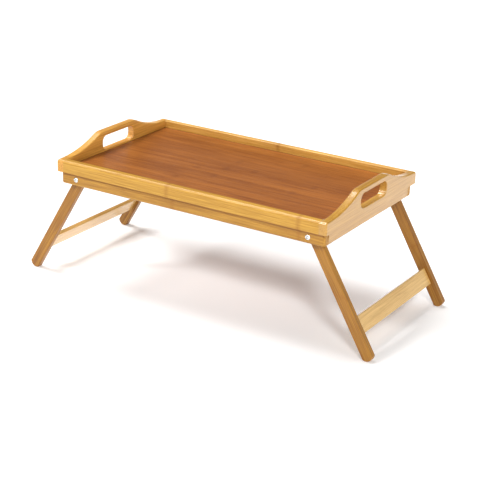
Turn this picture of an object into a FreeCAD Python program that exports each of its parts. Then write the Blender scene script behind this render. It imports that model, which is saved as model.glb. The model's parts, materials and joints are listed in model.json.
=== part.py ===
"""Folding bamboo tray table: a shallow tray with two handles, an apron below it,
and two leg frames that fold up into the apron.  Millimetres, +Z up, X along the tray.
The origin is on the floor, under the middle of the tray."""
import FreeCAD, Part
import math
import os

V = FreeCAD.Vector

# ---- tray box: two long rails between two full-width end boards ----
TRAY_LENGTH = 500.0
TRAY_WIDTH = 300.0
BOX_HEIGHT = 20.0            # top rails, and end boards at their corners
BOX_BOARD = 13.0             # thickness of the top rails and end boards
RIM_ROUND = 5.0              # rounded outer top edge of the rails and board corners
INNER_EASE = 1.5             # softened inner top edge of the rails

# ---- handles ----
HANDLE_RISE = 23.0           # above the rim
HANDLE_FLAT = 80.0           # straight top of the handle
SHOULDER_RADIUS = 35.0       # convex turn at each end of the straight top
SWEEP_CLEARANCE = 1.0        # flat rim between the hollow sweep and the rounded corner
HANDLE_EASE = 2.5            # rounded top edges
SLOT_LENGTH = 86.0
SLOT_HEIGHT = 24.0
SLOT_RADIUS = 10.0
SLOT_ABOVE_PANEL = 2.2
SLOT_EASE = 1.5

# ---- tray panel, its thinner tongue let into grooves ----
PANEL_THICKNESS = 5.0
PANEL_LEDGE = 3.0            # wood left below the groove
TONGUE_THICKNESS = 3.0
TONGUE_LENGTH = 6.5          # how far the tongue enters its groove
PANEL_PLAY = 0.5             # room for the panel to swell
SHOULDER_GAP = 0.3           # from the panel's full thickness to the boards round it

# ---- apron: long rails with cross rails between them, set in from the tray box ----
APRON_HEIGHT = 21.0
APRON_BOARD = 12.0
APRON_INSET_END = 5.0
APRON_INSET_SIDE = 6.0
APRON_END_ROUND = 4.0        # rounded upright edges at the rail ends
APRON_ROUND = 3.5            # rounded outer bottom edge, just under the end rounding

# ---- leg frames ----
FOOT_GAP = 8.0               # folded foot to the middle of the tray
LEG_WIDTH = 18.0
LEG_THICKNESS = 11.0
FOOT_FLATTENING = 1.5        # foot's radius beyond half the leg's width
LEG_EASE = 1.5
PIVOT_INSET = 34.0           # pivot from the end of the tray
STOP_GAP = 0.3               # leg edge to cross rail when open
SIDE_GAP = 0.3               # leg face to washer
STRETCHER_WIDTH = 28.0
STRETCHER_THICKNESS = 7.0
STRETCHER_RISE = 40.0        # tip of the foot to the stretcher's lower edge
STRETCHER_EASE = 1.0
TENON_SHOULDER = 3.0
TENON_LENGTH = 5.0

# ---- hardware ----
BOLT_DIAMETER = 5.0
BOLT_HEAD_DIAMETER = 8.5
BOLT_HEAD_HEIGHT = 2.4
BOLT_HEAD_RIM = 0.5          # upright edge below the head's dome
BOLT_SOCKET = 3.0            # hexagon socket across flats
BOLT_SOCKET_DEPTH = 1.4
BOLT_TIP = 1.0               # thread standing past the nut
NUT_ACROSS_FLATS = 8.0
NUT_HEIGHT = 4.0
NUT_COLLAR_HEIGHT = 1.0
NUT_COLLAR_DIAMETER = 7.2
WASHER_DIAMETER = 12.0
WASHER_THICKNESS = 1.0
PIVOT_FIT = 0.08             # radial clearance, leg on bolt
FIXED_FIT = 0.05             # radial clearance of pins, screws and nuts that don't turn
BOX_DOWEL_DIAMETER = 6.0
BOX_DOWEL_IN_BOARD = 9.0
BOX_DOWEL_IN_RAIL = 13.0
APRON_DOWEL_DIAMETER = 5.0
APRON_DOWEL_EDGE = 6.0       # dowel axis from the apron's top and bottom
APRON_DOWEL_IN_RAIL = 8.0
APRON_DOWEL_IN_CROSS = 10.0
END_PLAY = 0.5               # room past the end of a dowel, tenon or screw
SCREW_DIAMETER = 3.0
SCREW_HEAD_DIAMETER = 6.0
SCREW_HEAD_HEIGHT = 1.8
SCREW_LENGTH = 34.0
SCREW_POINT = 4.0
SCREW_FROM_PIVOT = 36.0      # outer screws of each long rail, inwards from the pivots
END_SCREW_SPACING = 160.0    # two screws in each cross rail
RECESS_WIDTH = 0.8
RECESS_LENGTH = 3.2
RECESS_DEPTH = 0.9
OVERCUT = 1.0                # how far a cutting shape stands past the faces it cuts
SAME_PLACE = 1e-3            # places closer than this are one place

# ---- places worked out from the sizes above ----
half_length = TRAY_LENGTH / 2
half_width = TRAY_WIDTH / 2
box_inner_x = half_length - BOX_BOARD
box_inner_y = half_width - BOX_BOARD
apron_x = half_length - APRON_INSET_END
apron_y = half_width - APRON_INSET_SIDE
apron_inner_x = apron_x - APRON_BOARD
apron_inner_y = apron_y - APRON_BOARD
pivot_x = half_length - PIVOT_INSET
leg_reach = pivot_x - FOOT_GAP
stretcher_top = leg_reach - STRETCHER_RISE - STRETCHER_WIDTH

# The open leg leans on the cross rail's inner bottom edge, which sets its splay.
stop_run = apron_inner_x - pivot_x
stop_drop = APRON_HEIGHT / 2
stop_reach = math.hypot(stop_run, stop_drop)
splay = math.acos((LEG_WIDTH / 2 + STOP_GAP) / stop_reach) - math.atan2(stop_drop, stop_run)

foot_radius = LEG_WIDTH / 2 + FOOT_FLATTENING
pivot_z = (leg_reach - foot_radius) * math.cos(splay) + foot_radius
apron_bottom = pivot_z - APRON_HEIGHT / 2
box_bottom = apron_bottom + APRON_HEIGHT
rim = box_bottom + BOX_HEIGHT
panel_bottom = box_bottom + PANEL_LEDGE
panel_top = panel_bottom + PANEL_THICKNESS
slot_z = panel_top + SLOT_ABOVE_PANEL + SLOT_HEIGHT / 2
box_dowel_z = (panel_top + rim) / 2

leg_outer_y = apron_inner_y - WASHER_THICKNESS - SIDE_GAP
leg_inner_y = leg_outer_y - LEG_THICKNESS
nut_washer_y = leg_inner_y - SIDE_GAP
nut_y = nut_washer_y - WASHER_THICKNESS

# Each screw stands in the middle of the overlap of tray box and apron.
screw_x = (box_inner_x + apron_x) / 2
screw_y = (box_inner_y + apron_y) / 2
side_screw_x = pivot_x - SCREW_FROM_PIVOT
side_screws = [(x, y) for y in (-screw_y, screw_y) for x in (-side_screw_x, 0, side_screw_x)]
end_screws = [(x, y) for x in (-screw_x, screw_x) for y in (-END_SCREW_SPACING / 2, END_SCREW_SPACING / 2)]
corners = [(sx, sy) for sx in (-1, 1) for sy in (-1, 1)]


def box(x0, x1, y0, y1, z0, z1):
    """A block between two corners given as ranges along X, Y and Z."""
    return Part.makeBox(x1 - x0, y1 - y0, z1 - z0, V(x0, y0, z0))


def rod(radius, start, end):
    """A round bar from one point to another."""
    along = end - start
    return Part.makeCylinder(radius, along.Length, start, along)


def turned(points, place, axis):
    """A solid of revolution from (radius, height) points, its height along axis."""
    outline = Part.makePolygon([V(r, 0, h) for r, h in points + points[:1]])
    solid = Part.Face(outline).revolve(V(0, 0, 0), V(0, 0, 1), 360)
    solid.rotate(V(0, 0, 0), *spin(axis))
    solid.translate(place)
    return solid


def spin(axis):
    """The rotation that carries +Z onto axis, as an axis and an angle in degrees."""
    rotation = FreeCAD.Rotation(V(0, 0, 1), axis)
    return rotation.Axis, math.degrees(rotation.Angle)


def hexagon(across_flats, height, start, axis):
    """A hexagonal bar that stands on start and runs along axis."""
    radius = across_flats / math.sqrt(3)
    angles = [math.radians(60 * i) for i in range(7)]
    ring = [V(radius * math.cos(a), radius * math.sin(a), 0) for a in angles]
    bar = Part.Face(Part.makePolygon(ring)).extrude(V(0, 0, height))
    bar.rotate(V(0, 0, 0), *spin(axis))
    bar.translate(start)
    return bar


def edges_at(solid, test):
    """The straight edges whose both ends pass a test on their position."""
    return [e for e in solid.Edges if len(e.Vertexes) == 2 and all(test(v.Point) for v in e.Vertexes)]


def near(a, b):
    return abs(a - b) < SAME_PLACE


def save(node, *solids):
    """Write one node, as a single solid or as a group of separate ones."""
    shape = solids[0] if len(solids) == 1 else Part.makeCompound(list(solids))
    shape.exportStep("parts/" + node + ".step")


# ---- hardware shapes, also used to cut the holes that they sit in ----
def frame_screw(x, y):
    """Countersunk screw driven straight up from the apron's bottom edge."""
    neck = SCREW_DIAMETER / 2
    outline = [(0, 0), (SCREW_HEAD_DIAMETER / 2, 0), (neck, SCREW_HEAD_HEIGHT),
               (neck, SCREW_LENGTH - SCREW_POINT), (0, SCREW_LENGTH)]
    screw = turned(outline, V(x, y, apron_bottom), V(0, 0, 1))
    for dx, dy in ((RECESS_LENGTH, RECESS_WIDTH), (RECESS_WIDTH, RECESS_LENGTH)):
        arm = box(x - dx / 2, x + dx / 2, y - dy / 2, y + dy / 2, apron_bottom, apron_bottom + RECESS_DEPTH)
        screw = screw.cut(arm)
    return screw


def screw_hole(x, y):
    """Countersunk hole for a frame screw, through everything that it passes."""
    neck = SCREW_DIAMETER / 2 + FIXED_FIT
    head = SCREW_HEAD_DIAMETER / 2 + FIXED_FIT
    depth = SCREW_LENGTH + END_PLAY
    outline = [(0, 0), (head, 0), (neck, SCREW_HEAD_HEIGHT), (neck, depth), (0, depth)]
    return turned(outline, V(x, y, apron_bottom), V(0, 0, 1))


def box_dowel(sx, sy, play=0.0, end_play=0.0):
    """Dowel along X through a corner of the tray box: top rail into end board."""
    y = sy * (half_width - BOX_BOARD / 2)
    inner = sx * (box_inner_x - BOX_DOWEL_IN_RAIL - end_play)
    outer = sx * (box_inner_x + BOX_DOWEL_IN_BOARD + end_play)
    return rod(BOX_DOWEL_DIAMETER / 2 + play, V(inner, y, box_dowel_z), V(outer, y, box_dowel_z))


def apron_dowels(sx, sy, play=0.0, end_play=0.0):
    """The two dowels along Y in one corner of the apron: cross rail into lower rail."""
    x = sx * (apron_x - APRON_BOARD / 2)
    inner = sy * (apron_inner_y - APRON_DOWEL_IN_CROSS - end_play)
    outer = sy * (apron_inner_y + APRON_DOWEL_IN_RAIL + end_play)
    heights = (apron_bottom + APRON_DOWEL_EDGE, box_bottom - APRON_DOWEL_EDGE)
    return [rod(APRON_DOWEL_DIAMETER / 2 + play, V(x, inner, z), V(x, outer, z)) for z in heights]


def pivot_bolt(sx, sy):
    """Button-head bolt from the outside of a lower rail through the leg to its nut."""
    radius = BOLT_HEAD_DIAMETER / 2
    dome_rise = BOLT_HEAD_HEIGHT - BOLT_HEAD_RIM
    dome_radius = (radius ** 2 + dome_rise ** 2) / (2 * dome_rise)
    outward = V(0, sy, 0)
    seat = V(sx * pivot_x, sy * apron_y, pivot_z)
    crown = seat + outward * BOLT_HEAD_HEIGHT
    ball = Part.makeSphere(dome_radius, crown - outward * dome_radius, outward)
    head = rod(radius, seat, crown).common(ball)
    socket_start = seat + outward * (BOLT_HEAD_HEIGHT - BOLT_SOCKET_DEPTH)
    head = head.cut(hexagon(BOLT_SOCKET, BOLT_SOCKET_DEPTH, socket_start, outward))
    tip = V(sx * pivot_x, sy * (nut_y - NUT_HEIGHT - NUT_COLLAR_HEIGHT - BOLT_TIP), pivot_z)
    return head.fuse(rod(BOLT_DIAMETER / 2, tip, seat)).removeSplitter()


def pivot_washer(sx, sy, face_y):
    """Flat washer whose outer face lies at face_y on the pivot's axis."""
    outer = V(sx * pivot_x, sy * face_y, pivot_z)
    inner = V(sx * pivot_x, sy * (face_y - WASHER_THICKNESS), pivot_z)
    disc = rod(WASHER_DIAMETER / 2, inner, outer)
    return disc.cut(rod(BOLT_DIAMETER / 2 + FIXED_FIT, inner, outer))


def pivot_nut(sx, sy):
    """Locking nut with a round collar, on the inner side of the leg."""
    seat = V(sx * pivot_x, sy * nut_y, pivot_z)
    inward = V(0, -sy, 0)
    top = seat + inward * NUT_HEIGHT
    end = top + inward * NUT_COLLAR_HEIGHT
    nut = hexagon(NUT_ACROSS_FLATS, NUT_HEIGHT, seat, inward)
    nut = nut.fuse(rod(NUT_COLLAR_DIAMETER / 2, top, end))
    return nut.cut(rod(BOLT_DIAMETER / 2 + FIXED_FIT, seat, end)).removeSplitter()


# ---- tray box ----
def tongue_room():
    """The space cut for the panel's tongue: the grooves in the rails and end boards."""
    x = box_inner_x + TONGUE_LENGTH + PANEL_PLAY
    y = box_inner_y + TONGUE_LENGTH + PANEL_PLAY
    return box(-x, x, -y, y, panel_bottom, panel_bottom + TONGUE_THICKNESS)


def top_rail(sy):
    """Long side of the tray box, butted between the end boards."""
    y0, y1 = sorted((sy * box_inner_y, sy * half_width))
    rail = box(-box_inner_x, box_inner_x, y0, y1, box_bottom, rim)
    outer = edges_at(rail, lambda p: near(p.z, rim) and near(p.y, sy * half_width))
    rail = rail.makeFillet(RIM_ROUND, outer)
    inner = edges_at(rail, lambda p: near(p.z, rim) and near(p.y, sy * box_inner_y))
    rail = rail.makeFillet(INNER_EASE, inner)
    rail = rail.cut(tongue_room())
    for sx in (-1, 1):
        rail = rail.cut(box_dowel(sx, sy, FIXED_FIT, END_PLAY))
    for x, y in side_screws:
        rail = rail.cut(screw_hole(x, y))
    return rail


def end_outline():
    """Side view of an end board, with its handle: a wire in the YZ plane."""
    flat = HANDLE_FLAT / 2
    foot = half_width - RIM_ROUND - SWEEP_CLEARANCE
    top = rim + HANDLE_RISE
    turn = 2 * math.atan2(HANDLE_RISE, foot - flat)
    sweep_radius = (foot - flat) / math.sin(turn) - SHOULDER_RADIUS

    def shoulder(angle):
        return V(0, flat + SHOULDER_RADIUS * math.sin(angle), top - SHOULDER_RADIUS * (1 - math.cos(angle)))

    def sweep(angle):
        return V(0, foot - sweep_radius * math.sin(angle), rim + sweep_radius * (1 - math.cos(angle)))

    def mirror(point):
        return V(0, -point.y, point.z)

    right = [Part.Arc(shoulder(0), shoulder(turn / 2), shoulder(turn)),
             Part.Arc(sweep(turn), sweep(turn / 2), sweep(0))]
    left = [Part.Arc(mirror(sweep(0)), mirror(sweep(turn / 2)), mirror(sweep(turn))),
            Part.Arc(mirror(shoulder(turn)), mirror(shoulder(turn / 2)), mirror(shoulder(0)))]
    rim_end = V(0, half_width, rim)
    low_end = V(0, half_width, box_bottom)
    straight = [Part.LineSegment(mirror(shoulder(0)), shoulder(0)),
                Part.LineSegment(sweep(0), rim_end),
                Part.LineSegment(rim_end, low_end),
                Part.LineSegment(low_end, mirror(low_end)),
                Part.LineSegment(mirror(low_end), mirror(rim_end)),
                Part.LineSegment(mirror(rim_end), mirror(sweep(0)))]
    curves = left + straight[:1] + right + straight[1:]
    return Part.Wire([curve.toShape() for curve in curves])


def slot_plug():
    """The finger slot's opening, with rounded corners, through both faces of a board."""
    half = SLOT_LENGTH / 2
    low = slot_z - SLOT_HEIGHT / 2
    plug = box(-OVERCUT, BOX_BOARD + OVERCUT, -half, half, low, low + SLOT_HEIGHT)
    through = [e for e in plug.Edges if near(e.Length, BOX_BOARD + 2 * OVERCUT)]
    return plug.makeFillet(min(SLOT_RADIUS, SLOT_HEIGHT / 2 - SLOT_EASE), through)


def on_face(edge, x):
    return all(near(v.Point.x, x) for v in edge.Vertexes) and near(edge.BoundBox.XLength, 0)


def end_board(sx):
    """Full-width end of the tray box, rising to a handle with a finger slot."""
    board = Part.Face(end_outline()).extrude(V(BOX_BOARD, 0, 0))
    corner_edges = [e for e in board.Edges if near(e.Length, BOX_BOARD) and near(e.CenterOfMass.z, rim)
                    and near(abs(e.CenterOfMass.y), half_width)]
    board = board.makeFillet(RIM_ROUND, corner_edges)
    top_edges = [e for e in board.Edges for x in (0, BOX_BOARD)
                 if on_face(e, x) and e.CenterOfMass.z > rim - SAME_PLACE]
    eased = board.makeFillet(HANDLE_EASE, top_edges)
    for sy in (-1, 1):
        # The inner ease stops at the rails, whose tops meet the board flush.
        y0, y1 = sorted((sy * box_inner_y, sy * half_width))
        eased = eased.fuse(board.common(box(0, HANDLE_EASE, y0, y1, box_bottom, rim + OVERCUT)))
    board = eased.removeSplitter().cut(slot_plug())
    slot_edges = [e for e in board.Edges for x in (0, BOX_BOARD)
                  if on_face(e, x) and abs(e.CenterOfMass.y) <= SLOT_LENGTH / 2 + SAME_PLACE
                  and abs(e.CenterOfMass.z - slot_z) <= SLOT_HEIGHT / 2 + SAME_PLACE]
    board = board.makeFillet(SLOT_EASE, slot_edges)
    board.translate(V(box_inner_x, 0, 0))
    if sx < 0:
        board.rotate(V(0, 0, 0), V(0, 0, 1), 180)
    board = board.cut(tongue_room())
    for sy in (-1, 1):
        board = board.cut(box_dowel(sx, sy, FIXED_FIT, END_PLAY))
    for x, y in end_screws:
        board = board.cut(screw_hole(x, y))
    return board


def tray_panel():
    """Floor of the tray, held in the grooves by a tongue all round."""
    x = box_inner_x + TONGUE_LENGTH
    y = box_inner_y + TONGUE_LENGTH
    tongue = box(-x, x, -y, y, panel_bottom, panel_bottom + TONGUE_THICKNESS)
    x = box_inner_x - SHOULDER_GAP
    y = box_inner_y - SHOULDER_GAP
    panel = tongue.fuse(box(-x, x, -y, y, panel_bottom, panel_top)).removeSplitter()
    for place in side_screws + end_screws:
        panel = panel.cut(screw_hole(*place))
    return panel


# ---- apron ----
def lower_rail(sy):
    """Long side of the apron, running through; it carries the pivot bolts."""
    y0, y1 = sorted((sy * apron_inner_y, sy * apron_y))
    rail = box(-apron_x, apron_x, y0, y1, apron_bottom, box_bottom)
    outer = edges_at(rail, lambda p: near(p.y, sy * apron_y))
    upright = [e for e in outer if near(e.Length, APRON_HEIGHT)]
    rail = rail.makeFillet(APRON_END_ROUND, upright)
    outer_y = sy * (apron_y - APRON_END_ROUND)
    bottom = [e for e in rail.Edges if near(e.BoundBox.ZMax, apron_bottom)
              and any(sy * (v.Point.y - outer_y) > -SAME_PLACE for v in e.Vertexes)]
    rail = rail.makeFillet(APRON_ROUND, bottom)
    for sx in (-1, 1):
        bore_start = V(sx * pivot_x, sy * (apron_inner_y - OVERCUT), pivot_z)
        bore_end = V(sx * pivot_x, sy * (apron_y + OVERCUT), pivot_z)
        rail = rail.cut(rod(BOLT_DIAMETER / 2 + FIXED_FIT, bore_start, bore_end))
        for dowel in apron_dowels(sx, sy, FIXED_FIT, END_PLAY):
            rail = rail.cut(dowel)
    for x, y in side_screws:
        rail = rail.cut(screw_hole(x, y))
    return rail


def cross_rail(sx):
    """End of the apron, between the lower rails; its inner bottom edge stops the legs."""
    x0, x1 = sorted((sx * apron_inner_x, sx * apron_x))
    rail = box(x0, x1, -apron_inner_y, apron_inner_y, apron_bottom, box_bottom)
    outer = edges_at(rail, lambda p: near(p.x, sx * apron_x) and near(p.z, apron_bottom))
    rail = rail.makeFillet(APRON_ROUND, outer)
    for sy in (-1, 1):
        for dowel in apron_dowels(sx, sy, FIXED_FIT, END_PLAY):
            rail = rail.cut(dowel)
    for x, y in end_screws:
        rail = rail.cut(screw_hole(x, y))
    return rail


# ---- leg frames, drawn with the pivot at the origin and the leg hanging straight down ----
def stand(shape, sx):
    """Splay a leg frame's piece outwards and carry it to its pivot."""
    shape.rotate(V(0, 0, 0), V(0, 1, 0), -sx * math.degrees(splay))
    shape.translate(V(sx * pivot_x, 0, pivot_z))
    return shape


def stretcher_tenon(sy, play=0.0, end_play=0.0):
    """The stub at one end of a stretcher, or with play the mortise that it enters."""
    y0, y1 = sorted((sy * leg_inner_y, sy * (leg_inner_y + TENON_LENGTH + end_play)))
    width = STRETCHER_WIDTH - 2 * TENON_SHOULDER + 2 * play
    thickness = STRETCHER_THICKNESS - 2 * STRETCHER_EASE + 2 * play
    middle = -stretcher_top - STRETCHER_WIDTH / 2
    return box(-thickness / 2, thickness / 2, y0, y1, middle - width / 2, middle + width / 2)


def leg(sx, sy):
    """Flat leg with a round top about its pivot and a rounded foot."""
    half = LEG_WIDTH / 2
    foot_centre = foot_radius - leg_reach
    foot_side = foot_centre - math.sqrt(foot_radius ** 2 - half ** 2)
    outline = [Part.Arc(V(-half, 0, 0), V(0, 0, half), V(half, 0, 0)),
               Part.LineSegment(V(half, 0, 0), V(half, 0, foot_side)),
               Part.Arc(V(half, 0, foot_side), V(0, 0, -leg_reach), V(-half, 0, foot_side)),
               Part.LineSegment(V(-half, 0, foot_side), V(-half, 0, 0))]
    blank = Part.Face(Part.Wire([curve.toShape() for curve in outline]))
    board = blank.extrude(V(0, LEG_THICKNESS, 0))
    board.translate(V(0, leg_inner_y if sy > 0 else -leg_outer_y, 0))
    rims = [e for e in board.Edges if near(e.BoundBox.YLength, 0)]
    board = board.makeFillet(LEG_EASE, rims)
    bore_start = V(0, sy * (leg_inner_y - OVERCUT), 0)
    bore_end = V(0, sy * (leg_outer_y + OVERCUT), 0)
    board = board.cut(rod(BOLT_DIAMETER / 2 + PIVOT_FIT, bore_start, bore_end))
    board = board.cut(stretcher_tenon(sy, FIXED_FIT, END_PLAY))
    return stand(board, sx)


def stretcher(sx):
    """Flat board between the two legs of a frame, with a stub tenon in each."""
    half = STRETCHER_THICKNESS / 2
    low = -stretcher_top - STRETCHER_WIDTH
    board = box(-half, half, -leg_inner_y, leg_inner_y, low, -stretcher_top)
    long_edges = [e for e in board.Edges if near(e.Length, 2 * leg_inner_y)]
    board = board.makeFillet(STRETCHER_EASE, long_edges)
    for sy in (-1, 1):
        board = board.fuse(stretcher_tenon(sy))
    return stand(board, sx)


os.makedirs("parts", exist_ok=True)

save("front_top_rail", top_rail(-1))
save("back_top_rail", top_rail(1))
save("left_end_board", end_board(-1))
save("right_end_board", end_board(1))
save("tray_panel", tray_panel())
save("front_lower_rail", lower_rail(-1))
save("back_lower_rail", lower_rail(1))
save("left_cross_rail", cross_rail(-1))
save("right_cross_rail", cross_rail(1))
for side, sx in (("left", -1), ("right", 1)):
    save(side + "_front_leg", leg(sx, -1))
    save(side + "_back_leg", leg(sx, 1))
    save(side + "_stretcher", stretcher(sx))
save("pivot_bolts", *[pivot_bolt(sx, sy) for sx, sy in corners])
save("rail_washers", *[pivot_washer(sx, sy, apron_inner_y) for sx, sy in corners])
save("nut_washers", *[pivot_washer(sx, sy, nut_washer_y) for sx, sy in corners])
save("pivot_nuts", *[pivot_nut(sx, sy) for sx, sy in corners])
save("tray_box_dowels", *[box_dowel(sx, sy) for sx, sy in corners])
save("apron_dowels", *[dowel for sx, sy in corners for dowel in apron_dowels(sx, sy)])
save("frame_screws", *[frame_screw(x, y) for x, y in side_screws + end_screws])

print("splay", round(math.degrees(splay), 2), "pivot height", round(pivot_z, 2))
print("rim", round(rim, 2), "height", round(rim + HANDLE_RISE, 2))
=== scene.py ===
"""Folding bamboo tray table: the finish of every piece, in the order it is put together."""
import json
import math

import bmesh
import bpy
from mathutils import Matrix, Vector


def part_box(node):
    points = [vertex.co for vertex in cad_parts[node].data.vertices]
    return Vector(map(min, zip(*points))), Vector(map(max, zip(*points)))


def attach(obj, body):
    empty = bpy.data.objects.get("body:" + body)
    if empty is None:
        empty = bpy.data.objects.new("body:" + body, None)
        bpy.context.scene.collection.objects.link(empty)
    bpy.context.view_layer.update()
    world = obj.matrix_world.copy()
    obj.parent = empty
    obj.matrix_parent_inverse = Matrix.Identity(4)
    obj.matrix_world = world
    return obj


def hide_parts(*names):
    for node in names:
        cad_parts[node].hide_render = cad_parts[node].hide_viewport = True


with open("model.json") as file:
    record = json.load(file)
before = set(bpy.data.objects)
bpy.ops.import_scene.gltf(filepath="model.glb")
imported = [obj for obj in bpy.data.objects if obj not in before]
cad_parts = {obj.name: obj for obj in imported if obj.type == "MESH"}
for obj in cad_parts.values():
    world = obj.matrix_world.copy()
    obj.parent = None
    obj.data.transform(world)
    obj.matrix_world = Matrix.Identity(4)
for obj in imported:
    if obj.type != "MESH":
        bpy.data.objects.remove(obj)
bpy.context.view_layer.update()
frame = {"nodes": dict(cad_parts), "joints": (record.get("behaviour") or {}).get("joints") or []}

# ---- Top rails ------------------------------------------------------------------------------
# The two long sides of the tray box.  Each is one flat strip of split bamboo stem, planed square,
# rounded along its outer top edge, sanded and lacquered.  A stem's joints show as brown bands.


class Field:
    """A value at each point of a finish.  Arithmetic on it adds Math nodes to the finish's tree."""

    def __init__(self, tree, socket=None):
        self.tree = tree
        self.socket = socket

    def node(self, kind, settings, sockets, out=0):
        """One more node of the tree, as the value at one of its outputs."""
        made = self.tree.nodes.new("ShaderNode" + kind)
        for name, value in settings.items():
            setattr(made, name, value)
        for key, value in sockets.items():
            if isinstance(value, Field):
                self.tree.links.new(value.socket, made.inputs[key])
            else:
                made.inputs[key].default_value = value
        return Field(self.tree, made.outputs[out])

    def math(self, operation, *values):
        return self.node("Math", {"operation": operation}, dict(enumerate((self,) + values)))

    def fade(self, start, end):
        """1 where the value is under start, 0 past end, and smooth between."""
        return self.node("MapRange", {"interpolation_type": "SMOOTHSTEP"},
                         {"Value": self, "From Min": start, "From Max": end, "To Min": 1, "To Max": 0})

    def __add__(self, other):
        return self.math("ADD", other)

    def __sub__(self, other):
        return self.math("SUBTRACT", other)

    def __mul__(self, other):
        return self.math("MULTIPLY", other)

    def __rsub__(self, other):
        return self.math("MULTIPLY", -1) + other

    __radd__ = __add__
    __rmul__ = __mul__


def vector(x, y, z):
    """Three fields as one vector."""
    return x.node("CombineXYZ", {}, {"X": x, "Y": y, "Z": z})


def noise(place, detail):
    """Soft random values round 0, about one change for each unit of place."""
    return place.node("TexNoise", {}, {"Vector": place, "Scale": 1, "Detail": detail}) - 0.5


def blend(amount, first, second):
    """A colour that goes from first to second as amount goes from 0 to 1."""
    factor, colour_a, colour_b, colour_result = 0, 6, 7, 2
    return amount.node("Mix", {"data_type": "RGBA"},
                       {factor: amount, colour_a: first, colour_b: second}, out=colour_result)


def bamboo(name, pale, deep, joint_and_shade, along, across, middle, strip, lot, joint_gap=0.236,
           joint_at=0.0, scatter=0.0, rough=0.40, coat=0.1, spots=(), rim=(1, 1)):
    """Lacquered bamboo that is glued up of strips.  Its grain runs along one direction, and its
    strips lie side by side across it.  Joints of the stem cross it every joint_gap, scattered
    from strip to strip.  Spots are the places of single soft brown joints, and rim is how far
    from the middle the board is darkened with painted shade, along and across: a painted shadow
    where it meets other pieces.  joint_and_shade colours both the joints and the painted shade."""
    finish = bpy.data.materials.new(name)
    finish.use_nodes = True
    tree = finish.node_tree
    shader = tree.nodes["Principled BSDF"]
    start = Field(tree)

    # Seen from the board: x runs along its grain, y across its strips and z through it.
    turn = Matrix((along, across, Vector(along).cross(across)))
    place = start.node("TexCoord", {}, {}, out="Object")
    facing = start.node("TexCoord", {}, {}, out="Normal")
    board = place.node("Mapping", {"vector_type": "POINT"},
                       {"Vector": place, "Rotation": turn.to_euler(),
                        "Location": -(turn @ Vector(middle))})
    x, y, z = [board.node("SeparateXYZ", {}, {"Vector": board}, out=axis) for axis in "XYZ"]
    towards_end = facing.node("VectorMath", {"operation": "DOT_PRODUCT"},
                              {0: facing, 1: along}, out="Value")
    end_grain = 1 - towards_end.math("ABSOLUTE").fade(0.55, 0.9)

    # Each strip has its own chance, which sets its tone and where its joints and fibres lie.
    row = y * (1 / strip) + 0.5
    strip_number = row.math("FLOOR") + lot
    chance = strip_number.node("TexWhiteNoise", {"noise_dimensions": "1D"}, {"W": strip_number})
    from_glue = row.math("FRACT").math("PINGPONG", 0.5) * strip
    glue = from_glue.fade(0.0001, 0.0007)

    # The grain is noise drawn out along the board, and slipped from strip to strip.
    slipped = x + chance * 0.9

    def grain(changes_along, changes_across, detail):
        """Noise with so many changes in a metre along the board, and across it."""
        return noise(vector(slipped * changes_along, y * changes_across, z * changes_across), detail)

    age = noise(vector(x * 9, y * 16, z * 16 + lot), 1)
    cloud = grain(4, 80, 2)
    streak = grain(10, 430, 2)
    fibre = grain(22, 1200, 2)
    fleck = grain(50, 1000, 1).fade(-0.24, -0.10)

    # A stem joint is a fine line in a narrow band, with a cloudy stain on both sides.
    sway = noise(vector(chance * 7 + lot, y * 160, z * 160), 1) * 0.004
    from_joint = (x + sway + (chance - 0.5) * scatter - joint_at).math("PINGPONG", joint_gap / 2)
    band = from_joint.fade(0.0016, 0.0060)
    line = from_joint.fade(0.0003, 0.0014)
    stain = from_joint.fade(0.004, 0.05) * cloud.fade(-0.15, 0.1)
    spot_length, spot_width = 0.006, 0.010
    for spot_x, spot_y in spots:
        far_along = (x - spot_x + sway) * (1 / spot_length)
        far_across = (y - spot_y) * (1 / spot_width)
        stain = stain + (far_along * far_along + far_across * far_across).fade(0, 1.6) * 0.9

    depth = cloud * 0.7 + streak * 1.9 + fibre * 2.0 + (chance - 0.5) * 0.4 + age * 0.6 + 0.5
    colour = blend(depth.math("MAXIMUM", 0).math("MINIMUM", 1), pale, deep)
    pores = x.node("TexVoronoi", {}, {"Vector": vector(x * 30, y * 1500, z * 1500), "Scale": 1})
    # How far each point lies past the rim, for the painted shade below.
    from_rim = (x.math("ABSOLUTE") - rim[0]).math("MAXIMUM", y.math("ABSOLUTE") - rim[1])
    mark = band * 0.30 + line * 0.14 + stain * 0.22 + fleck * 0.3 + glue * 0.16
    mark = mark + end_grain * (0.04 + pores.fade(0.15, 0.45) * 0.16)
    # Painted shade: within about 2 mm of the rim the board is darkened to the joint colour, a painted
    # shadow where it meets other pieces.
    mark = mark + (1 - from_rim.fade(-0.0022, -0.0008)) * 0.6
    colour = blend(mark.math("MINIMUM", 1), colour, joint_and_shade)

    worn = rough + fibre * 0.25 + band * 0.08 + end_grain * 0.12
    height = streak * 0.4 + fibre * 0.5 - fleck * 0.25 - glue * 0.6 + band * 0.15 - line * 0.3
    bump = height.node("Bump", {}, {"Strength": 0.6, "Distance": 0.0002, "Height": height})
    tree.links.new(colour.socket, shader.inputs["Base Color"])
    tree.links.new(worn.socket, shader.inputs["Roughness"])
    tree.links.new(bump.socket, shader.inputs["Normal"])
    shader.inputs["IOR"].default_value = 1.42
    shader.inputs["Coat Weight"].default_value = coat
    shader.inputs["Coat Roughness"].default_value = 0.15
    return finish


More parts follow.
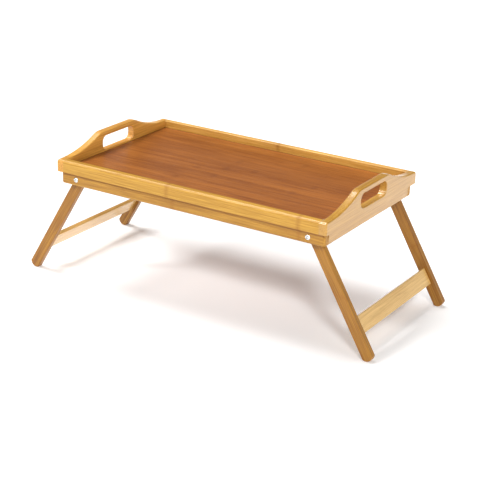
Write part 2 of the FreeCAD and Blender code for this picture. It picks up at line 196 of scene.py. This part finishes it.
def finished(shape, name, body, finish, node):
    """The piece that a bmesh becomes: smooth over its curves, on its body and in its node's place."""
    crease = math.radians(40)
    bmesh.ops.triangulate(shape, faces=[f for f in shape.faces if len(f.verts) > 4])
    mesh = bpy.data.meshes.new(name)
    shape.to_mesh(mesh)
    shape.free()
    mesh.materials.append(finish)
    mesh.shade_smooth()
    mesh.set_sharp_from_angle(angle=crease)
    piece = bpy.data.objects.new(name, mesh)
    bpy.context.scene.collection.objects.link(piece)
    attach(piece, body)
    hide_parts(node)
    return piece


def eased(node, body, finish, ease=0.0005, glued=()):
    """A board of its CAD node's shape, with the free arrises rounded over as sanding leaves them.
    Edges in a glued plane, given as an axis and its place, stay crisp and flush."""
    weld, hair, flat, fold = 2e-6, 1e-5, math.radians(0.2), math.radians(50)
    shape = bmesh.new()
    shape.from_mesh(frame["nodes"][node].data)
    bmesh.ops.remove_doubles(shape, verts=shape.verts, dist=weld)
    bmesh.ops.dissolve_limit(shape, angle_limit=flat, verts=shape.verts, edges=shape.edges)
    sharp = [e for e in shape.edges if e.is_convex and e.calc_face_angle(0) > fold
             and not any(all(abs(abs(v.co[axis]) - level) < hair for v in e.verts)
                         for axis, level in glued)]
    bmesh.ops.bevel(shape, geom=sharp, offset=ease, offset_type="OFFSET", affect="EDGES",
                    segments=3, profile=0.5, material=-1, clamp_overlap=True)
    bmesh.ops.remove_doubles(shape, verts=shape.verts, dist=hair)
    bmesh.ops.dissolve_degenerate(shape, dist=hair, edges=shape.edges)
    board = finished(shape, node + "_finished", body, finish, node)
    flatness = board.modifiers.new("flat_faces_stay_flat", "WEIGHTED_NORMAL")
    flatness.weight = 90
    flatness.keep_sharp = True


rail_low, rail_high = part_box("front_top_rail")
rail_middle = (0, 0, (rail_low.z + rail_high.z) / 2)
rail_end = rail_high.x
lengthways, crossways, upright = (1, 0, 0), (0, 1, 0), (0, 0, 1)
brown = (0.32, 0.12, 0.012, 1)
honey, amber = (0.60, 0.325, 0.044, 1), (0.38, 0.175, 0.015, 1)
light_honey, light_amber = (0.80, 0.47, 0.115, 1), (0.58, 0.29, 0.05, 1)
# The two rails are one bamboo, given different colours as painted light and shade for how the light
# falls on each: the back rail lighter, the front one darker.
for side, pale, deep, joint_at, lot in (("front", honey, amber, -0.034, 1),
                                        ("back", light_honey, light_amber, -0.003, 2)):
    wood = bamboo(side + "_top_rail_bamboo", pale, deep, brown,
                  lengthways, upright, rail_middle, strip=0.024, joint_at=joint_at, lot=lot)
    eased(side + "_top_rail", "tray", wood, glued=[(0, rail_end)])

# ---- End boards -----------------------------------------------------------------------------
# One wide board at each end, shaped to a handle, with a finger slot routed through it.  The grain
# runs across the tray, so its ends show at the corners.
straw, tan = (0.56, 0.30, 0.052, 1), (0.42, 0.203, 0.027, 1)
dark_straw, dark_tan = (0.76, 0.39, 0.074, 1), (0.53, 0.24, 0.038, 1)
jointless = {"joint_gap": 3, "joint_at": -1}
# The two boards are one bamboo, given different colours as painted light and shade for how the light
# falls on each end: the left board lighter, the right one darker.
for side, pale, deep, coat, lot in (("left", dark_straw, dark_tan, 0.3, 3),
                                    ("right", straw, tan, 0.8, 4)):
    wood = bamboo(side + "_end_bamboo", pale, deep, brown, crossways, upright, rail_middle,
                  strip=0.021, coat=coat, lot=lot, **jointless)
    eased(side + "_end_board", "tray", wood, ease=0.001, glued=[(0, rail_end)])

# ---- Tray panel -----------------------------------------------------------------------------
# The floor of the tray: a thin board of narrow strips glued edge to edge.  The strips were
# steamed until they turned caramel brown, and the lacquer on them is glossier than on the rails.
caramel, dark_caramel = (0.39, 0.130, 0.023, 1), (0.22, 0.062, 0.010, 1)
burnt = (0.10, 0.024, 0.008, 1)
# Painted shade: the panel darkens within about 2 mm of its edges, a painted shadow in the crevice along
# the rails and end boards.
inside_box = 0.0003
shaded_panel_edge = (rail_end - inside_box, -rail_high.y - inside_box)
stem_joints = [(-0.023, 0.049), (-0.023, 0.006), (-0.020, -0.037), (-0.066, -0.014), (-0.068, -0.077),
               (0.074, 0.093), (0.141, 0.008), (0.124, -0.034), (0.024, 0.019)]
wood = bamboo("panel_bamboo_finish", caramel, dark_caramel, burnt, lengthways, crossways, (0, 0, 0),
              strip=0.0205, rough=0.34, lot=5, spots=stem_joints, rim=shaded_panel_edge, **jointless)
eased("tray_panel", "tray", wood, ease=0.0003)

# ---- Apron ----------------------------------------------------------------------------------
# A frame of four flat strips below the tray box.  The long rails carry the leg pivots, and the
# cross rails between them stop the open legs.  The long rails are darkened along their top with
# painted shade, a painted shadow under the lip of the box.
apron_low, apron_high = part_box("front_lower_rail")
apron_middle = (0, 0, (apron_low.z + apron_high.z) / 2)
# Painted shade: the long rails darken over their top 4 to 5 mm, and their pattern is centred 3 mm lower.
pooled = 0.003
lowered = Vector(apron_middle) - Vector((0, 0, pooled))
under_lip = apron_high.z - pooled - lowered.z
low_honey, low_amber = (0.54, 0.28, 0.034, 1), (0.34, 0.15, 0.014, 1)
for side, lot in (("front", 6), ("back", 7)):
    wood = bamboo(side + "_lower_rail_bamboo", low_honey, low_amber, brown, lengthways, upright, lowered,
                  strip=0.026, joint_gap=0.227, joint_at=-0.026, rim=(1, under_lip), lot=lot)
    eased(side + "_lower_rail", "tray", wood)
cross_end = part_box("left_cross_rail")[1].y
for side, lot in (("left", 8), ("right", 9)):
    wood = bamboo(side + "_cross_rail_bamboo", straw, tan, brown, crossways, upright, apron_middle,
                  strip=0.026, coat=0.8, lot=lot, **jointless)
    eased(side + "_cross_rail", "tray", wood, glued=[(1, cross_end)])

# ---- Leg frames -----------------------------------------------------------------------------
# Two flat legs and a thin stretcher at each end, joined by stub tenons.  The legs' grain runs
# down to their rounded feet.
leg_honey, leg_brown = (0.44, 0.205, 0.022, 1), (0.22, 0.08, 0.007, 1)
cream, pale_tan = (0.82, 0.53, 0.19, 1), (0.62, 0.36, 0.10, 1)
off_middle = 0.0015
for side, sign in (("left", -1), ("right", 1)):
    joint = [j for j in frame["joints"] if j["child"] == side + "_leg_frame"][0]
    pivot = Vector(joint["pos_m"])
    splay = math.radians(joint["range_deg"][1]) - math.pi / 2
    down_leg = Vector((sign * math.sin(splay), 0, -math.cos(splay)))
    over_leg = Vector((math.cos(splay), 0, sign * math.sin(splay)))
    for where, lot in (("front", 10), ("back", 13)):
        leg = side + "_" + where + "_leg"
        wood = bamboo(leg + "_bamboo", leg_honey, leg_brown, brown, down_leg, over_leg,
                      pivot + off_middle * over_leg, strip=0.011, joint_gap=0.19, joint_at=0.1,
                      scatter=0.02, lot=lot + sign)
        eased(leg, side + "_leg_frame", wood)
    wood = bamboo(side + "_stretcher_bamboo", cream, pale_tan, brown, crossways, down_leg, pivot,
                  strip=0.04, coat=1, spots=[(-0.045, 0.114)], lot=16 + sign, **jointless)
    eased(side + "_stretcher", side + "_leg_frame", wood)

# ---- Pivot bolts ----------------------------------------------------------------------------
# Four furniture bolts of nickel-plated steel, with a domed head and a hexagon socket.  Each goes
# through the long rail and the leg, and its thread stands just past the lock nut.


def plated(name, colour, rough):
    """Plated steel: a slightly cloudy plate over fine turning marks."""
    finish = bpy.data.materials.new(name)
    finish.use_nodes = True
    tree = finish.node_tree
    shader = tree.nodes["Principled BSDF"]
    place = Field(tree).node("TexCoord", {}, {}, out="Object")
    cloud = place.node("TexNoise", {}, {"Vector": place, "Scale": 700, "Detail": 3})
    marks = place.node("TexNoise", {}, {"Vector": place, "Scale": 6000, "Detail": 2})
    dull = tuple(c * 0.7 for c in colour[:3]) + (1,)
    tint = blend(cloud.fade(0.35, 0.65), dull, colour)
    bump = marks.node("Bump", {}, {"Strength": 0.25, "Distance": 0.00003, "Height": marks})
    tree.links.new(tint.socket, shader.inputs["Base Color"])
    tree.links.new((rough + cloud * 0.18).socket, shader.inputs["Roughness"])
    tree.links.new(bump.socket, shader.inputs["Normal"])
    shader.inputs["Metallic"].default_value = 1
    return finish


def turned(outline, steps=48):
    """A new shape: the outline of (radius, height) points, turned round the Z axis."""
    shape = bmesh.new()
    verts = [shape.verts.new((radius, 0, height)) for radius, height in outline]
    edges = [shape.edges.new(pair) for pair in zip(verts, verts[1:])]
    bmesh.ops.spin(shape, geom=verts + edges, cent=(0, 0, 0), axis=(0, 0, 1), angle=math.tau,
                   steps=steps, use_merge=True)
    bmesh.ops.remove_doubles(shape, verts=shape.verts, dist=1e-6)
    return shape


def verts_of(geom):
    """The vertices in what an operator made."""
    return [g for g in geom if isinstance(g, bmesh.types.BMVert)]


def sunk(shape, mouth, depth):
    """Walls down from a loop of edges, and a flat bottom."""
    walls = bmesh.ops.extrude_edge_only(shape, edges=mouth)["geom"]
    bottom = [g for g in walls if isinstance(g, bmesh.types.BMEdge) and g.is_boundary]
    bmesh.ops.translate(shape, vec=(0, 0, -depth), verts=list({v for e in bottom for v in e.verts}))
    bmesh.ops.edgeloop_fill(shape, edges=bottom)


def copied(shape, places):
    """The shape at each place instead of at the origin.  A place is a turn and then a point."""
    first = shape.verts[:] + shape.edges[:] + shape.faces[:]
    for turn, point in places:
        made = bmesh.ops.duplicate(shape, geom=first)["geom"]
        bmesh.ops.transform(shape, matrix=Matrix.Translation(point) @ turn, verts=verts_of(made))
    bmesh.ops.delete(shape, geom=verts_of(first), context="VERTS")
    bmesh.ops.recalc_face_normals(shape, faces=shape.faces)


def either_side(y):
    """The four pivots' places y from the middle of the tray, with the outward direction as up."""
    return [(Matrix.Rotation(-face * math.pi / 2, 4, "X"), (x, face * y, pivot.z))
            for x in (-pivot.x, pivot.x) for face in (-1, 1)]


def is_level(edge):
    """Whether both ends of an edge are at the same height."""
    return abs(edge.verts[0].co.z - edge.verts[1].co.z) < 1e-6


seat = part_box("back_lower_rail")[1].y
bolt_low, bolt_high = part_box("pivot_bolts")
head = (bolt_high.z - bolt_low.z) / 2
crown, lip, mouth, arris = 0.0024, 0.0005, 0.00195, 0.0001
shank, pitch, thread_depth, threaded, point = 0.0025, 0.0008, 0.00035, 0.006, 0.0005
socket, dish, socket_depth = 0.0015, 0.00045, 0.00095
ball = (head ** 2 + (crown - lip) ** 2) / (2 * (crown - lip))
dome = [(r, crown - ball + math.sqrt(ball ** 2 - r ** 2))
        for r in [mouth + (head - mouth) * step / 6 for step in range(7)]]
nut_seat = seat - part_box("pivot_nuts")[1].y
tip = nut_seat + threaded
thread = [(shank - thread_depth * (turn % 2), -nut_seat - turn * pitch / 2)
          for turn in range(int((tip - nut_seat) / pitch * 2))]
bolt = turned(dome + [(head, arris), (head - arris, 0), (shank, 0)] + thread
              + [(shank - point, -tip), (0, -tip)])
bmesh.ops.create_circle(bolt, segments=6, radius=socket / math.cos(math.pi / 6),
                        matrix=Matrix.Translation((0, 0, crown - dish)))
hexagon = [e for e in bolt.edges if e.is_wire]
bmesh.ops.bridge_loops(bolt, edges=[e for e in bolt.edges if e.is_boundary] + hexagon)
sunk(bolt, hexagon, socket_depth)
copied(bolt, either_side(seat))
nickel = plated("nickel_plate", (0.86, 0.86, 0.84, 1), 0.16)
finished(bolt, "pivot_bolt_set", "tray", nickel, "pivot_bolts")

# ---- Washers and lock nuts ------------------------------------------------------------------
# Zinc-plated steel.  One washer keeps the leg off the rail, and another lies under each nut,
# whose rolled collar locks it on the thread.
zinc = plated("zinc_plate", (0.60, 0.62, 0.64, 1), 0.30)
bore, washer, thick, corner = 0.00255, 0.006, 0.001, 0.00012
for node, name in (("rail_washers", "rail_washer_set"), ("nut_washers", "nut_washer_set")):
    ring = turned([(bore, 0), (washer - corner, 0), (washer, corner), (washer, thick - corner),
                   (washer - corner, thick), (bore, thick), (bore, 0)])
    copied(ring, either_side(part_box(node)[1].y - thick))
    finished(ring, name, "tray", zinc, node)
nut_height, half_flats, chamfer = 0.004, 0.004, 0.0003
collar, collar_top, collar_side = 0.0036, 0.001, 0.0007
nut = turned([(bore, 0), (0.0031, 0), (collar, 0.0002), (collar, collar_side), (0.0033, collar_top),
              (0.0029, collar_top), (0.0028, collar_side), (bore, collar_side), (bore, 0)])
bmesh.ops.translate(nut, vec=(0, 0, nut_height), verts=nut.verts)
nut_corner = half_flats / math.cos(math.pi / 6)
loops = []
for segments, size in ((6, nut_corner), (24, bore)):
    verts = bmesh.ops.create_circle(nut, segments=segments, radius=size)["verts"]
    loops += {e for v in verts for e in v.link_edges}
base = bmesh.ops.bridge_loops(nut, edges=loops)["faces"]
top = bmesh.ops.extrude_face_region(nut, geom=base)["geom"]
bmesh.ops.translate(nut, vec=(0, 0, nut_height), verts=verts_of(top))
outline = [e for e in nut.edges if is_level(e) and e.calc_length() > half_flats
           and min(v.co.xy.length for v in e.verts) > nut_corner - chamfer]
bmesh.ops.bevel(nut, geom=outline, offset=chamfer, offset_type="OFFSET", affect="EDGES",
                segments=2, profile=0.5, material=-1)
flats_level = Matrix.Rotation(math.pi / 6, 3, "Z")
bmesh.ops.rotate(nut, matrix=Matrix.Rotation(math.pi, 3, "X") @ flats_level, verts=nut.verts)
copied(nut, either_side(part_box("pivot_nuts")[1].y))
finished(nut, "lock_nut_set", "tray", zinc, "pivot_nuts")

# ---- Dowels ---------------------------------------------------------------------------------
# Fluted beech pins, glued into blind holes in the corners of the tray box and of the apron.
# None of them shows once the frame is together.
pale_beech, deep_beech = (0.74, 0.50, 0.30, 1), (0.60, 0.38, 0.20, 1)
brown_beech = (0.40, 0.20, 0.09, 1)
beech = bamboo("dowel_beech", pale_beech, deep_beech, brown_beech, lengthways, upright, (0, 0, 0),
               strip=0.05, lot=20, **jointless)
flute = 0.94
for node, size, length, along in (("tray_box_dowels", 0.003, 0.022, "Y"),
                                  ("apron_dowels", 0.0025, 0.018, "X")):
    pin = bmesh.new()
    rim = bmesh.ops.create_circle(pin, cap_ends=True, segments=36, radius=size)["verts"]
    bmesh.ops.scale(pin, vec=(flute, flute, 1), verts=rim[::2])
    end = bmesh.ops.extrude_face_region(pin, geom=pin.faces[:])["geom"]
    bmesh.ops.translate(pin, vec=(0, 0, length), verts=verts_of(end))
    bmesh.ops.bevel(pin, geom=[e for e in pin.edges if is_level(e)], offset=chamfer,
                    offset_type="OFFSET", affect="EDGES", segments=1, profile=0.5, material=-1)
    low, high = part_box(node)
    if along == "Y":
        places = [(Matrix.Rotation(sign * math.pi / 2, 4, along),
                   (sign * (high.x - length), y, low.z + size))
                  for sign in (-1, 1) for y in (low.y + size, high.y - size)]
    else:
        places = [(Matrix.Rotation(-sign * math.pi / 2, 4, along), (x, sign * (high.y - length), z))
                  for sign in (-1, 1) for x in (low.x + size, high.x - size)
                  for z in (low.z + size, high.z - size)]
    copied(pin, places)
    finished(pin, node[:-1] + "_set", "tray", beech, node)

# ---- Frame screws ---------------------------------------------------------------------------
# Countersunk wood screws with a cross recess, driven up through the apron into the tray box.
# Each is driven just below the surface, because the apron's outer bottom edge is rounded there.
low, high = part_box("frame_screws")
countersink, head, neck, length, sunken = 0.003, 0.00225, 0.0015, 0.0331, 0.0009
thread_start, half_pitch, half_turns, thread_depth = 0.008, 0.0007, 32, 0.0004
blade, reach, recess_depth = 0.0004, 0.0016, 0.0008
thread = [(neck - thread_depth * (turn % 2), -thread_start - turn * half_pitch)
          for turn in range(half_turns)]
screw = turned([(head - arris, 0), (head, -arris), (neck, -sunken)] + thread + [(0, -length)], steps=24)
cross = [Matrix.Rotation(quarter * math.pi / 2, 3, "Z") @ Vector(point) for quarter in range(4)
         for point in ((blade, -blade, 0), (reach, -blade, 0), (reach, blade, 0))]
verts = [screw.verts.new(point) for point in cross]
recess = [screw.edges.new(pair) for pair in zip(verts, verts[1:] + verts[:1])]
bmesh.ops.triangle_fill(screw, use_beauty=True, normal=(0, 0, 1),
                        edges=recess + [e for e in screw.edges if e.is_boundary])
sunk(screw, recess, recess_depth)
screw_side, screw_end = high.y - countersink, high.x - countersink
along_rail, along_cross = (-0.18, 0, 0.18), (-0.08, 0.08)
places = [(x, sign * screw_side) for sign in (-1, 1) for x in along_rail]
places += [(sign * screw_end, y) for sign in (-1, 1) for y in along_cross]
copied(screw, [(Matrix.Rotation(math.pi, 4, "X"), (x, y, low.z + sunken)) for x, y in places])
finished(screw, "frame_screw_set", "tray", zinc, "frame_screws")

# ---- Studio ---------------------------------------------------------------------------------
# A pale floor of lit white acrylic, a key light and a front light, and soft fills from both ends.
# The room glows near the horizon, and is seen from slightly above the tray at its right.
floor_mesh = bpy.data.meshes.new("floor")
shape = bmesh.new()
bmesh.ops.create_grid(shape, x_segments=1, y_segments=1, size=40)
shape.to_mesh(floor_mesh)
shape.free()
floor = bpy.data.objects.new("floor", floor_mesh)
bpy.context.scene.collection.objects.link(floor)
white = (1, 1, 1, 1)
acrylic = bpy.data.materials.new("white_acrylic")
acrylic.use_nodes = True
shader = acrylic.node_tree.nodes["Principled BSDF"]
shader.inputs["Base Color"].default_value = (0.85, 0.85, 0.85, 1)
shader.inputs["Roughness"].default_value = 0.9
shader.inputs["Emission Color"].default_value = white
shader.inputs["Emission Strength"].default_value = 0.2
floor_mesh.materials.append(acrylic)


def softlight(name, place, spread, strength):
    """A large soft light, far away in one direction from the table."""
    lamp = bpy.data.lights.new(name, "SUN")
    lamp.angle = math.radians(spread)
    lamp.energy = strength
    light = bpy.data.objects.new(name, lamp)
    light.rotation_euler = Vector(place).to_track_quat("Z", "Y").to_euler()
    bpy.context.scene.collection.objects.link(light)


softlight("key_light", (-1.6, -2.1, 2.2), 8, 1.05)
softlight("front_light", (1.6, -2.2, 2.0), 10, 1.6)
softlight("left_light", (-2.6, 0.3, 1.5), 30, 0.8)
softlight("high_left_light", (-1.5, 0.3, 3.4), 30, 2.65)
softlight("right_light", (2.4, -0.2, 0.7), 30, 0.65)

world = bpy.data.worlds.new("studio")
bpy.context.scene.world = world
world.use_nodes = True
background = world.node_tree.nodes["Background"]
sky = Field(world.node_tree).node("TexCoord", {}, {}, out="Generated")
height = sky.node("SeparateXYZ", {}, {"Vector": sky}, out="Z")
glow = height.fade(0.04, 0.24) * 0.9 + height.fade(0.12, 0.42) * 0.15 + 0.02
world.node_tree.links.new(glow.socket, background.inputs["Strength"])
background.inputs["Color"].default_value = white

view_azimuth, view_elevation, view_roll = [math.radians(angle) for angle in (31.57, 21.25, 1.72)]
view_point = Vector((1.1416, -1.8399, rail_high.z + 0.7122))
view_turn = (Matrix.Rotation(view_azimuth, 4, "Z")
             @ Matrix.Rotation(math.pi / 2 - view_elevation, 4, "X")
             @ Matrix.Rotation(view_roll, 4, "Z"))
camera_data = bpy.data.cameras.new("camera")
camera_data.sensor_width = 36
camera_data.lens = 105.42
camera = bpy.data.objects.new("camera", camera_data)
camera.matrix_world = Matrix.Translation(view_point) @ view_turn
bpy.context.scene.collection.objects.link(camera)
bpy.context.scene.camera = camera
bpy.context.scene.view_settings.view_transform = "Standard"
